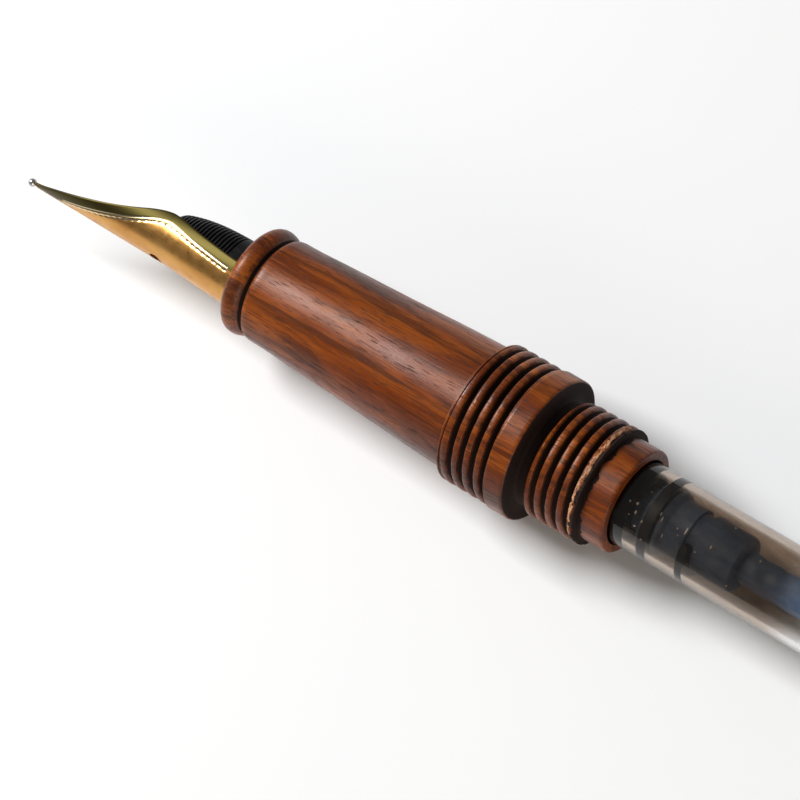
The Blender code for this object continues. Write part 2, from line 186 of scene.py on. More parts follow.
def smoothstep(low, high, value):
    t = min(max((value - low) / (high - low), 0.0), 1.0)
    return t * t * (3 - 2 * t)


# ---------------------------------------------------------------- shapes


def finish_mesh(name, shape, body, material, stands_for, crease=40.0):
    """Turns a bmesh into a piece that rides on its body."""
    bmesh.ops.recalc_face_normals(shape, faces=shape.faces)
    mesh = bpy.data.meshes.new(name)
    shape.to_mesh(mesh)
    shape.free()
    mesh.shade_smooth()
    mesh.set_sharp_from_angle(angle=math.radians(crease))
    piece = bpy.data.objects.new(name, mesh)
    bpy.context.scene.collection.objects.link(piece)
    mesh.materials.append(material)
    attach(piece, body)
    if stands_for:
        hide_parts(stands_for)
    return piece


def lathe(profile, sides=PLAIN_SIDES, radius=None, offset=None):
    """A closed shape turned about the pen's axis from a closed loop of (s, r)."""
    shape = bmesh.new()
    rings = []
    for s, r in profile:
        across = offset(s) if offset else 0.0
        if r == 0.0:
            centre = shape.verts.new(point(s, 0.0, 0.0) + Vector((0.0, across * MM, 0.0)))
            rings.append([centre] * sides)
            continue
        ring = []
        for side in range(sides):
            angle = 2 * math.pi * side / sides
            here = radius(s, r, angle) if radius else r
            ring.append(shape.verts.new(point(s, angle, here) + Vector((0.0, across * MM, 0.0))))
        rings.append(ring)
    for first, second in zip(rings, rings[1:] + rings[:1]):
        for side in range(sides):
            after = (side + 1) % sides
            corners = [first[side], first[after], second[after], second[side]]
            corners = list(dict.fromkeys(corners))
            if len(corners) > 2:
                shape.faces.new(corners)
    return shape


def turned(name, profile, body, material, sides=PLAIN_SIDES, radius=None, offset=None):
    """A turned piece that replaces the CAD node of the same name."""
    shape = lathe(profile, sides, radius, offset)
    return finish_mesh(f"{name}_look", shape, body, material, name)


def curve_through(points, step):
    """A smooth line through the points, as rows about step apart."""
    rows = []
    ends = [points[0]] + list(points) + [points[-1]]
    for index in range(1, len(ends) - 2):
        p0, p1, p2, p3 = (Vector(ends[index + k]) for k in (-1, 0, 1, 2))
        count = max(2, math.ceil((p2 - p1).length / step))
        d1 = max(math.sqrt((p1 - p0).length), 1e-4)
        d2 = math.sqrt((p2 - p1).length)
        d3 = max(math.sqrt((p3 - p2).length), 1e-4)
        m1 = (p2 - p1) if index == 1 else ((p1 - p0) / d1 - (p2 - p0) / (d1 + d2) + (p2 - p1) / d2) * d2
        last = index == len(ends) - 3
        m2 = (p2 - p1) if last else ((p2 - p1) / d2 - (p3 - p1) / (d2 + d3) + (p3 - p2) / d3) * d2
        for k in range(count):
            t = k / count
            h = (2 * t**3 - 3 * t**2 + 1) * p1 + (t**3 - 2 * t**2 + t) * m1
            rows.append(tuple(h + (-2 * t**3 + 3 * t**2) * p2 + (t**3 - t**2) * m2))
    rows.append(tuple(points[-1]))
    return rows


def rows(start, end, step):
    count = max(1, round((end - start) / step))
    return [start + (end - start) * index / count for index in range(count + 1)]


def thread_cut(s, angle, thread):
    """How far a right-hand thread's groove cuts below the crest at this place."""
    phase = (s - thread["groove_s"]) / THREAD_PITCH - angle / (2 * math.pi)
    wave = 0.5 + 0.5 * math.cos(2 * math.pi * phase)
    crown = CROWN_HEIGHT * smoothstep(0.0, 0.6, wave)
    wall = (thread["depth"] - CROWN_HEIGHT) * max(0.0, (wave - 0.45) / 0.55) ** 0.8
    start, end = thread["span"]
    fade = smoothstep(start - 0.35, start, s) * (1 - smoothstep(end, end + 0.3, s))
    return fade * (crown + wall)


def chip(s, angle, strength):
    """Small chips that the threading tool tore out of the wood."""
    place = Vector((s * 1.4, math.cos(angle) * 9.0, math.sin(angle) * 9.0))
    coarse = noise.noise(place)
    fine = noise.noise(place * 3.1)
    return strength * max(0.0, coarse * 0.7 + fine * 0.45 - 0.1)


def section_radius(s, r, angle):
    if r <= REAR_LAND_R:
        return r
    thread = CAP_THREAD if s < LAND_S[1] else BARREL_THREAD
    cut = thread_cut(s, angle, thread)
    if s > LAND_S[1] + 0.5:
        worn = smoothstep(36.3, 36.8, s) * 0.45 + 0.05
    elif s > 24.5:
        worn = 0.06 * (1 - smoothstep(LAND_S[0] - 0.2, LAND_S[0], s))
    else:
        worn = 0.0
    crest = 1 - min(cut / 0.25, 1.0)
    return r - cut - chip(s, angle, worn) * crest


def grip_section(material):
    step = THREAD_PITCH / ROWS_PER_PITCH
    outside = curve_through(BEAD_OUTLINE, 0.08) + BEAD_GROOVE + curve_through(GRIP_OUTLINE, 0.25)
    outside += [(24.45, 5.7), (24.47, CAP_THREAD_R - 0.35), (24.51, CAP_THREAD_R - 0.16)]
    outside += [(24.6, CAP_THREAD_R - 0.04)]
    outside += [(24.7, CAP_THREAD_R - 0.03), (24.76, CAP_THREAD_R - 0.14), (24.82, CAP_THREAD_R - 0.02)]
    outside += [(s, CAP_THREAD_R) for s in rows(24.9, LAND_S[0] - 0.06, step)]
    outside += [(LAND_S[0] - 0.02, LAND_R - 0.04), (LAND_S[0] + 0.04, LAND_R)]
    outside += [(s, LAND_R) for s in rows(LAND_S[0] + 0.2, LAND_S[1] - 0.16, 0.2)]
    outside += [(LAND_S[1] - 0.06, LAND_R - 0.04), (LAND_S[1], LAND_R - 0.12)]
    outside += [(LAND_S[1], 6.0), (LAND_S[1], 5.7), (LAND_S[1], SEAT_INNER_R)]
    hollow = [(LAND_S[1] + 0.03, 5.2), (LAND_S[1] + 0.12, 4.85), (LAND_S[1] + 0.3, RELIEF_R)]
    outside += curve_through(hollow, 0.08)
    outside += [(31.6, RELIEF_R), (31.9, RELIEF_R), (RELIEF_END_S, RELIEF_R)]
    outside += [(RELIEF_END_S + 0.1, BARREL_THREAD_R - 0.35), (RELIEF_END_S + 0.2, BARREL_THREAD_R - 0.13)]
    outside += [(s, BARREL_THREAD_R) for s in rows(RELIEF_END_S + 0.36, REAR_LAND_S - 0.06, step)]
    end = SECTION_END_S
    outside += [(s, REAR_LAND_R) for s in rows(REAR_LAND_S, end - 0.2, 0.2)]
    outside += [(end - 0.09, REAR_LAND_R - 0.03), (end - 0.02, REAR_LAND_R - 0.1), (end, REAR_LAND_R - 0.18)]
    inside = [(end, CONVERTER_BORE_R + 0.06), (end - 0.1, CONVERTER_BORE_R), (BORE_STEP_S, CONVERTER_BORE_R)]
    inside += [(BORE_STEP_S, FRONT_BORE_R), (0.6, FRONT_BORE_R), (0.5, FRONT_BORE_R + 0.08)]
    return turned(
        "grip_section", outside + inside, "section", material, SECTION_SIDES, section_radius
    )


def nib_housing(material):
    start, end = HOUSING_S
    tip = NIPPLE_END_S
    profile = [(start, HOUSING_BORE_R), (start, 3.5), (start + 0.09, HOUSING_R), (end, HOUSING_R)]
    profile += [(end + 0.4, 2.2), (end + 2.4, 2.2), (end + 2.6, NIPPLE_R), (tip - 0.3, NIPPLE_R)]
    profile += [(tip, NIPPLE_R - 0.15), (tip, NIPPLE_BORE_R), (HOUSING_FLOOR_S, NIPPLE_BORE_R)]
    profile += [(HOUSING_FLOOR_S, HOUSING_BORE_R)]
    return turned("nib_housing", profile, "section", material)


def nib_spine_r(reach):
    behind = min(max(reach, 0.0), NIB_SHOULDER_REACH)
    ahead = max(reach - NIB_SHOULDER_REACH, 0.0)
    return NIB_R - NIB_REAR_SLOPE * behind - NIB_FRONT_SLOPE * ahead


# The nib's outline as (reach, half the angle it wraps round the axis, in degrees). The smooth line through it
# is drawn with tenths of the angle, so that both numbers have about the same range.
NIB_HALF_WRAP = [
    (-NIB_SHANK, 84.0), (0.0, 87.0), (2.5, 91.5), (4.5, 96.5), (6.3, 102.5), (7.4, 105.0), (8.2, 102.0),
    (9.1, 95.5), (11.0, 78.5), (13.2, 62.0), (15.2, 48.5), (17.2, 35.5), (19.0, 23.5), (20.4, 12.5),
    (NIB_REACH, 7.5),
]
NIB_OUTLINE = curve_through([(reach, wrap / 10) for reach, wrap in NIB_HALF_WRAP], 0.3)
NIB_OUTLINE = [(reach, wrap * 10) for reach, wrap in NIB_OUTLINE]


def nib_half_wrap(reach):
    """Half the angle that the nib's sheet wraps round the axis, from a smooth line through its outline."""
    for (a, wrap_a), (b, wrap_b) in zip(NIB_OUTLINE, NIB_OUTLINE[1:]):
        if reach <= b:
            t = (reach - a) / (b - a)
            return wrap_a + (wrap_b - wrap_a) * t
    return NIB_OUTLINE[-1][1]


def border_distance(reach, turn):
    """How far, in millimetres, a place on the nib lies inside its edge."""
    return math.radians(nib_half_wrap(reach) - abs(turn)) * nib_spine_r(reach)


def line_depth(line, inset):
    return line["depth"] * max(0.0, 1 - ((inset - line["inset"]) / line["half_width"]) ** 2)


def nib_relief(reach, turn):
    """Two engraved lines along the border, the inner one with a row of small dimples in it."""
    if not ENGRAVED_REACH[0] <= reach <= ENGRAVED_REACH[1]:
        return 0.0
    inset = border_distance(reach, turn)
    dimples = math.cos(2 * math.pi * reach / DIMPLE_PITCH) * 0.5 + 0.5
    return line_depth(INNER_LINE, inset) * (0.35 + 0.65 * dimples) + line_depth(OUTER_LINE, inset)


def nib_sheet():
    """The curved sheet as a closed shape: an outer and an inner grid, joined round their edges."""
    lengths = rows(-NIB_SHANK, 0.0, 1.0)[:-1] + rows(0.0, NIB_REACH, NIB_ROW)
    columns = NIB_COLUMNS
    shape = bmesh.new()
    border = shape.verts.layers.float.new("border")
    engraved = shape.verts.layers.float.new("engraved")
    layers = []
    for depth in (0.0, NIB_THICKNESS):
        grid = []
        for reach in lengths:
            wrap = nib_half_wrap(reach)
            line = []
            for column in range(columns + 1):
                turn = wrap * (2 * column / columns - 1)
                cut = nib_relief(reach, turn) if depth == 0.0 else 0.0
                edge = border_distance(reach, turn)
                round_off = 0.05 * max(0.0, 1 - edge / 0.12) ** 2
                r = nib_spine_r(reach) - depth - cut + (round_off if depth else -round_off)
                corner = shape.verts.new(point(-reach, SPINE + math.radians(turn), r))
                # The border layer marks the edge strip that the gold paints dark as a painted reflection
                corner[border] = 1 - smoothstep(1.0, 1.3, edge)
                corner[engraved] = min(cut / 0.04, 1.0)
                line.append(corner)
            grid.append(line)
        layers.append(grid)
    top, under = layers
    for row in range(len(lengths) - 1):
        for column in range(columns):
            for grid in layers:
                near, far = grid[row], grid[row + 1]
                shape.faces.new([near[column], near[column + 1], far[column + 1], far[column]])
        for column in (0, columns):
            edge = [top[row][column], top[row + 1][column], under[row + 1][column], under[row][column]]
            shape.faces.new(edge)
    for row in (0, len(lengths) - 1):
        above, below = top[row], under[row]
        for column in range(columns):
            shape.faces.new([above[column], above[column + 1], below[column + 1], below[column]])
    return shape


def nib(material):
    """The curved nib, with its slit and breather hole cut through the spine."""
    piece = finish_mesh("nib_look", nib_sheet(), "nib_unit", material, "nib", NIB_CREASE)
    cutter = slit_cutter()
    cut = piece.modifiers.new("slit and breather hole", "BOOLEAN")
    cut.operation = "DIFFERENCE"
    cut.solver = "EXACT"
    cut.object = cutter
    apply_modifiers(piece)
    bpy.data.objects.remove(cutter, do_unlink=True)
    piece.data.shade_smooth()
    piece.data.set_sharp_from_angle(angle=math.radians(NIB_CREASE))


def apply_modifiers(piece):
    graph = bpy.context.evaluated_depsgraph_get()
    made = bpy.data.meshes.new_from_object(piece.evaluated_get(graph))
    old = piece.data
    piece.modifiers.clear()
    piece.data = made
    bpy.data.meshes.remove(old)
    made.name = piece.name


def slit_cutter():
    """A keyhole-shaped bar through the spine."""
    half = SLIT_WIDTH / 2
    start = math.asin(half / BREATHER_R)
    outline = [(-NIB_REACH - 1.0, -half), (-NIB_REACH - 1.0, half)]
    for side in range(37):
        angle = start + (2 * math.pi - 2 * start) * side / 36
        outline.append((-BREATHER_REACH - BREATHER_R * math.cos(angle), BREATHER_R * math.sin(angle)))
    shape = bmesh.new()
    ends = []
    for across in (-NIB_R - 1.0, -1.0):
        places = [((s - ORIGIN_S) * MM, across * MM, (AXIS_Z + up) * MM) for s, up in outline]
        ends.append([shape.verts.new(place) for place in places])
    shape.faces.new(ends[0])
    shape.faces.new(list(reversed(ends[1])))
    for corner in range(len(outline)):
        after = (corner + 1) % len(outline)
        shape.faces.new([ends[0][corner], ends[1][corner], ends[1][after], ends[0][after]])
    bmesh.ops.recalc_face_normals(shape, faces=shape.faces)
    mesh = bpy.data.meshes.new("slit_cutter")
    shape.to_mesh(mesh)
    shape.free()
    cutter = bpy.data.objects.new("slit_cutter", mesh)
    bpy.context.scene.collection.objects.link(cutter)
    cutter.hide_render = True
    return cutter


def nib_tipping(material):
    shape = bmesh.new()
    bmesh.ops.create_uvsphere(shape, u_segments=40, v_segments=24, radius=TIPPING_R * MM)
    centre = point(TIPPING_R - TIP_REACH, SPINE, nib_spine_r(NIB_REACH) - NIB_THICKNESS / 2)
    for corner in shape.verts:
        split = 0.02 * MM * max(0.0, 1 - abs(corner.co.z) / (0.06 * MM))
        corner.co.y += split
        corner.co.y *= 0.96
    bmesh.ops.translate(shape, verts=shape.verts, vec=centre)
    return finish_mesh("nib_tipping_look", shape, "nib_unit", material, "nib_tipping")


def feed_top(reach):
    return FEED_BACK_R - FEED_FALL * reach**3


def feed_nose_r(reach):
    return FEED_NOSE_R - FEED_NOSE_SLOPE * (reach - FEED_NOSE_REACH)


def feed_offset(s):
    nose = feed_nose_r(-s) - FEED_NOSE_DEPTH
    return nose * smoothstep(FEED_NOSE_REACH, FEED_TAPER_REACH, -s)


def feed_radius(s, r, angle):
    """Behind the nose, the feed fills the nib's inside near the spine and keeps its fins elsewhere."""
    reach = -s
    if r <= FEED_PIPE_R or reach >= FEED_NOSE_REACH:
        return r
    off_spine = abs(math.remainder(angle - SPINE, 2 * math.pi))
    under_nib = nib_spine_r(reach) - NIB_THICKNESS - 0.07
    blend = smoothstep(math.radians(80.0), math.radians(104.0), off_spine)
    return under_nib * (1 - blend) + r * blend


def feed(material):
    profile = [(-FEED_END_REACH, 0.0), (0.02 - FEED_END_REACH, 0.09)]
    profile += [(-reach, feed_nose_r(reach)) for reach in (14.9, 14.2, 13.4, 11.8, 10.2, FEED_TAPER_REACH)]
    for reach in rows(FEED_TAPER_REACH - 0.2, FEED_NOSE_REACH, -0.2):
        share = smoothstep(FEED_TAPER_REACH, FEED_NOSE_REACH, reach)
        profile.append((-reach, feed_nose_r(reach) * (1 - share) + feed_top(reach) * share))
    for fin in range(FIN_COUNT):
        front = FINS_START_REACH + FIN_PITCH * (FIN_COUNT - fin)
        back = front - FIN_PITCH + FIN_GAP
        profile += [(-front, feed_top(front) - FIN_DEPTH), (-front + 0.01, feed_top(front) - 0.04)]
        profile += [(-front + 0.04, feed_top(front)), (-back - 0.04, feed_top(back))]
        profile += [(-back - 0.01, feed_top(back) - 0.04), (-back, feed_top(back) - FIN_DEPTH)]
    last = FINS_START_REACH
    start, end = FEED_COLLAR_S
    profile += [(-last, feed_top(last) - FIN_DEPTH), (-last + 0.01, feed_top(last))]
    profile += [(start - 0.05, FEED_BACK_R), (start, FEED_COLLAR_R), (end, FEED_COLLAR_R)]
    profile += [(end, FEED_PIPE_R), (FEED_PIPE_END_S, FEED_PIPE_R), (FEED_PIPE_END_S, 0.0)]
    return turned(
        "feed", profile, "nib_unit", material, PLAIN_SIDES, feed_radius, feed_offset
    )


def converter_tube(material):
    start = TUBE_START_S
    profile = [(start, 1.34), (start, NECK_R - 0.25), (start + 0.25, NECK_R), (NECK_END_S, NECK_R)]
    profile += [(NECK_END_S + 0.5, TUBE_R - 0.2), (NECK_END_S + 0.62, TUBE_R - 0.07)]
    profile += [(NECK_END_S + 0.8, TUBE_R)]
    profile += [(s, TUBE_R) for s in rows(24.0, TUBE_END_S, 2.0)]
    profile += [(s, TUBE_BORE_R) for s in rows(TUBE_END_S, NECK_END_S + 0.9, -2.0)]
    profile += [(NECK_END_S + 0.2, 2.25), (start + 1.8, 2.25), (start + 1.6, 1.34)]
    return turned("converter_tube", profile, "converter", material, FINE_SIDES)


def ink(material):
    """The ink in front of the plunger. It wets the tube's bore and leaves room for the plunger's nose."""
    wet = TUBE_BORE_R + 0.015
    profile = [(INK_START_S, INK_HOLE_R), (INK_START_S, wet)]
    profile += [(s, wet) for s in rows(INK_START_S + 1.0, INK_END_S, 1.0)]
    profile += [(INK_END_S + 0.12, wet - 0.04), (INK_END_S + 0.16, wet - 0.2), (INK_END_S + 0.1, wet - 0.5)]
    profile += [(INK_END_S, 2.4), (INK_END_S, INK_HOLE_R)]
    piece = finish_mesh("ink_column", lathe(profile, FINE_SIDES), "converter", material, None)
    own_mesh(piece)


def ferrule(material):
    r = FERRULE_R
    profile = [(64.5, 3.74), (64.5, r - 0.09), (64.55, r - 0.02), (64.65, r), (70.4, r), (70.46, r - 0.05)]
    profile += [(70.5, r - 0.18), (70.75, r - 0.18), (70.79, r - 0.05), (70.85, r), (71.05, r)]
    profile += [(71.15, r - 0.05), (71.2, r - 0.15), (71.2, 2.45), (69.1, 2.45), (69.1, 3.05)]
    profile += [(67.35, 3.05), (67.35, 3.74)]
    return turned("ferrule", profile, "converter", material, FINE_SIDES)


def flatted(limit, flat):
    """A radius rule that cuts two flats, facing +Y and -Y, where the radius is at most limit."""

    def rule(s, r, angle):
        if r > limit:
            return r
        return min(r, flat / max(abs(math.cos(angle)), 1e-6))

    return rule


def rod_guide(material):
    start, end = GUIDE_S
    profile = [(start, 1.65), (start, 2.95), (start + 0.1, 3.05), (end, 3.05), (end, 2.45), (60.6, 2.45)]
    profile += [(60.6, 1.65)]
    hole = flatted(1.7, ROD_FLAT + 0.05)
    return turned("rod_guide", profile, "converter", material, PLAIN_SIDES, hole)


def plunger_core(material):
    seal_start, seal_end = FRONT_SEAL_S
    rear_start, rear_end = REAR_SEAL_S
    start, end = CORE_S
    profile = [(start, 0.0), (start, CORE_NOSE_R - 0.35), (start + 0.1, CORE_NOSE_R - 0.12)]
    profile += [(start + 0.3, CORE_NOSE_R), (CORE_NOSE_END_S - 0.15, CORE_NOSE_R)]
    profile += [(CORE_NOSE_END_S, CORE_NOSE_R + 0.15)]
    profile += [(CORE_NOSE_END_S, 2.7), (CORE_NOSE_END_S + 0.05, 2.75), (seal_start - 0.06, 2.75)]
    profile += [(seal_start - 0.06, CORE_GROOVE_R), (seal_end + 0.06, CORE_GROOVE_R)]
    profile += [(seal_end + 0.06, CORE_R - 0.05), (seal_end + 0.1, CORE_R), (seal_end + 0.38, CORE_R)]
    profile += [(seal_end + 0.45, CORE_R - 0.04), (seal_end + 0.75, CORE_WAIST_R), (45.0, CORE_WAIST_R)]
    profile += [(rear_start - 0.06, CORE_WAIST_R), (rear_start - 0.06, CORE_GROOVE_R)]
    profile += [(rear_end + 0.06, CORE_GROOVE_R), (rear_end + 0.06, CORE_WAIST_R), (end - 0.2, CORE_WAIST_R)]
    profile += [(end - 0.06, CORE_WAIST_R - 0.06), (end, CORE_WAIST_R - 0.2), (end, 1.14)]
    profile += [(45.8, 1.14), (45.8, 0.0)]
    return turned("plunger_core", profile, "plunger", material, FINE_SIDES)


def seal_profile(span):
    """The rubber is pressed flat against the bore, so it is drawn touching the tube."""
    start, end = span
    inner = CORE_GROOVE_R + 0.05
    touch = TUBE_BORE_R + 0.01
    profile = [(start, inner), (start, touch - 0.3), (start + 0.04, touch - 0.12), (start + 0.12, touch)]
    profile += [(end - 0.12, touch), (end - 0.04, touch - 0.12), (end, touch - 0.3), (end, inner)]
    return profile


def front_seal(material):
    return turned("front_seal", seal_profile(FRONT_SEAL_S), "plunger", material, FINE_SIDES)


def rear_seal(material):
    """The split ring, with its ends rounded off."""
    profile = seal_profile(REAR_SEAL_S)
    middle = (REAR_SEAL_S[0] + REAR_SEAL_S[1]) / 2
    start, end = REAR_SEAL_ARC
    tip = 9.0
    arc = []
    for step in range(9):
        swing = math.pi / 2 * step / 8
        arc.append((start + tip * (1 - math.cos(swing)), 0.12 + 0.88 * math.sin(swing)))
    arc += [(start + tip + (end - start - 2 * tip) * step / 90, 1.0) for step in range(1, 90)]
    arc += [(start + end - degrees, width) for degrees, width in reversed(arc[:9])]
    shape = bmesh.new()
    loops = []
    for degrees, width in arc:
        angle = math.radians(degrees)
        loops.append([shape.verts.new(point(middle + (s - middle) * width, angle, r)) for s, r in profile])
    shape.faces.new(loops[0])
    shape.faces.new(list(reversed(loops[-1])))
    for first, second in zip(loops, loops[1:]):
        for corner in range(len(profile)):
            after = (corner + 1) % len(profile)
            shape.faces.new([first[corner], second[corner], second[after], first[after]])
    return finish_mesh("rear_seal_look", shape, "plunger", material, "rear_seal")


def rod_radius(s, r, angle):
    """The flatted rod, with a coarse drive thread on its two round sides."""
    if s < CORE_S[1]:
        return r
    phase = 2 * math.pi * s / DRIVE_THREAD["pitch"] - DRIVE_THREAD["starts"] * angle
    thread = DRIVE_THREAD["depth"] * (0.5 + 0.5 * math.cos(phase))
    return min(r - thread, ROD_FLAT / max(abs(math.cos(angle)), 1e-6))


def piston_rod(material):
    start = CORE_S[1] + 0.3
    profile = [(46.0, 0.0), (46.0, 1.1), (start, 1.1), (start, ROD_R)]
    profile += [(s, ROD_R) for s in rows(start + 0.1, ROD_END_S - 0.4, 0.2)]
    profile += [(ROD_END_S - 0.3, ROD_R), (ROD_END_S, ROD_R - 0.3), (ROD_END_S, 0.0)]
    return turned("piston_rod", profile, "plunger", material, PLAIN_SIDES, rod_radius)


def drive_spindle(material):
    bore, flange = SPINDLE_BORE_R, SPINDLE_FLANGE_R
    profile = [(60.9, bore), (60.9, SPINDLE_R - 0.05), (60.95, SPINDLE_R), (67.5, SPINDLE_R), (67.5, flange)]
    profile += [(68.6, flange), (68.6, SPINDLE_R), (89.5, SPINDLE_R), (89.5, bore)]
    return turned("drive_spindle", profile, "turning_knob", material)


def flute(s, r, angle):
    """Rounded lengthwise flutes on the knob's grip."""
    if r < KNOB_R:
        return r
    start, end = FLUTES["span"]
    run_out = FLUTES["run_out"]
    fade = smoothstep(start, start + run_out, s) * (1 - smoothstep(end - run_out, end, s))
    wave = 0.5 + 0.5 * math.cos(FLUTES["count"] * angle)
    return r - FLUTES["depth"] * fade * wave**1.5


def knob(material):
    profile = [(71.5, KNOB_BORE_R), (71.5, 3.2), (71.56, 3.34), (71.7, KNOB_R)]
    profile += [(s, KNOB_R) for s in rows(71.9, 90.2, 0.15)]
    profile += [(90.4, 3.37), (90.58, 3.26), (90.67, 3.12), (KNOB_END_S, 2.95), (KNOB_END_S, 1.2)]
    profile += [(KNOB_END_S - 0.12, 1.0), (KNOB_END_S - 0.12, 0.0), (89.8, 0.0), (89.8, KNOB_BORE_R)]
    return turned("knob", profile, "turning_knob", material, FINE_SIDES + 48, flute)


# Small drops and bubbles that cling to the tube's bore, some of them long thin specks for glints off
# scratches; their pale colour is painted glint: (s, angle in degrees, length, width)
DROPS = [
    (40.7, 104.0, 0.17, 0.18), (41.35, 102.0, 0.2, 0.24), (41.55, 114.0, 0.18, 0.3), (41.1, 121.0, 0.1, 0.1),
    (42.35, 121.0, 0.16, 0.18), (41.9, 132.0, 0.26, 0.13), (42.8, 146.0, 0.1, 0.12), (41.8, 78.0, 0.1, 0.12),
    (43.5, 98.0, 0.07, 0.3), (43.8, 104.0, 0.1, 0.42), (45.3, 104.0, 0.1, 0.14), (46.05, 101.0, 0.12, 0.6),
    (44.4, 124.0, 0.08, 0.3), (45.6, 112.0, 0.07, 0.12), (47.5, 120.0, 0.08, 0.14), (48.5, 103.0, 0.1, 0.3),
    (49.2, 60.0, 0.12, 0.14), (51.0, 140.0, 0.14, 0.14), (52.6, 85.0, 0.1, 0.2), (41.5, 250.0, 0.14, 0.2),
    (44.6, 300.0, 0.12, 0.2), (47.0, 20.0, 0.14, 0.12), (50.4, 210.0, 0.14, 0.2), (53.5, 330.0, 0.1, 0.14),
]


def drops(material):
    """Each drop is a flat dome on the bore's surface."""
    shape = bmesh.new()
    for s, degrees, length, width in DROPS:
        before = set(shape.verts)
        bmesh.ops.create_uvsphere(shape, u_segments=16, v_segments=10, radius=0.5)
        made = [corner for corner in shape.verts if corner not in before]
        angle = math.radians(degrees)
        out = Vector((0.0, math.cos(angle), math.sin(angle)))
        around = Vector((0.0, -math.sin(angle), math.cos(angle)))
        turn = Matrix((Vector((1.0, 0.0, 0.0)), around, out)).transposed().to_4x4()
        size = Matrix.Diagonal((length * MM, width * MM, 0.09 * MM, 1.0))
        place = Matrix.Translation(point(s, angle, TUBE_BORE_R + 0.01))
        bmesh.ops.transform(shape, matrix=place @ turn @ size, verts=made)
    return finish_mesh("bore_drops_painted_glints", shape, "converter", material, None)


# ---------------------------------------------------------------- materials


class Surface:
    """A node material with short calls to add and join its nodes."""

    def __init__(self, name):
        self.material = bpy.data.materials.new(name)
        self.material.use_nodes = True
        self.nodes = self.material.node_tree.nodes
        self.shader = self.nodes["Principled BSDF"]

    def set(self, **values):
        for key, value in values.items():
            self.shader.inputs[key.replace("_", " ")].default_value = value
        return self

    def add(self, kind, *links, **settings):
        """A node of this kind. Each link is (socket, value or another node's output)."""
        node = self.nodes.new(kind)
        for key, value in settings.items():
            setattr(node, key, value)
        for socket, value in links:
            self.join(value, node.inputs[socket])
        return node

    def join(self, value, socket):
        if isinstance(value, bpy.types.NodeSocket):
            self.material.node_tree.links.new(value, socket)
        else:
            socket.default_value = value

    def place(self, scale):
        """Object coordinates in millimetres, stretched by scale in X, Y and Z."""
        where = self.add("ShaderNodeTexCoord")
        size = tuple(value / MM for value in scale)
        mapping = self.add("ShaderNodeMapping", ("Vector", where.outputs["Object"]), ("Scale", size))
        return mapping.outputs["Vector"]

    def noise(self, scale, detail=4.0, roughness=0.55, distortion=0.0):
        node = self.add(
            "ShaderNodeTexNoise", ("Vector", self.place(scale)), ("Scale", 1.0), ("Detail", detail),
            ("Roughness", roughness), ("Distortion", distortion),
        )
        return node.outputs["Fac"]

    def ramp(self, value, *stops):
        """Colours, or grey values, that follow the value smoothly from stop to stop."""
        node = self.add("ShaderNodeValToRGB", ("Fac", value))
        band = node.color_ramp
        band.interpolation = "EASE"
        while len(band.elements) < len(stops):
            band.elements.new(0.5)
        for element, (position, colour) in zip(band.elements, stops):
            element.position = position
            if isinstance(colour, float):
                colour = (colour, colour, colour)
            element.color = (*colour, 1.0)
        return node.outputs["Color"]

    def mix(self, factor, a, b):
        node = self.add("ShaderNodeMix", data_type="RGBA")
        for socket, value in ((node.inputs[0], factor), (node.inputs[6], a), (node.inputs[7], b)):
            if isinstance(value, tuple) and len(value) == 3:
                value = (*value, 1.0)
            self.join(value, socket)
        return node.outputs[2]

    def maths(self, operation, a, b=0.5):
        return self.add("ShaderNodeMath", (0, a), (1, b), operation=operation).outputs["Value"]

    def bump(self, height, strength, distance, under=None):
        node = self.add(
            "ShaderNodeBump", ("Height", height), ("Strength", strength), ("Distance", distance * MM)
        )
        if under is not None:
            self.join(under, node.inputs["Normal"])
        return node.outputs["Normal"]

    def drive(self, **links):
        for key, value in links.items():
            self.join(value, self.shader.inputs[key.replace("_", " ")])


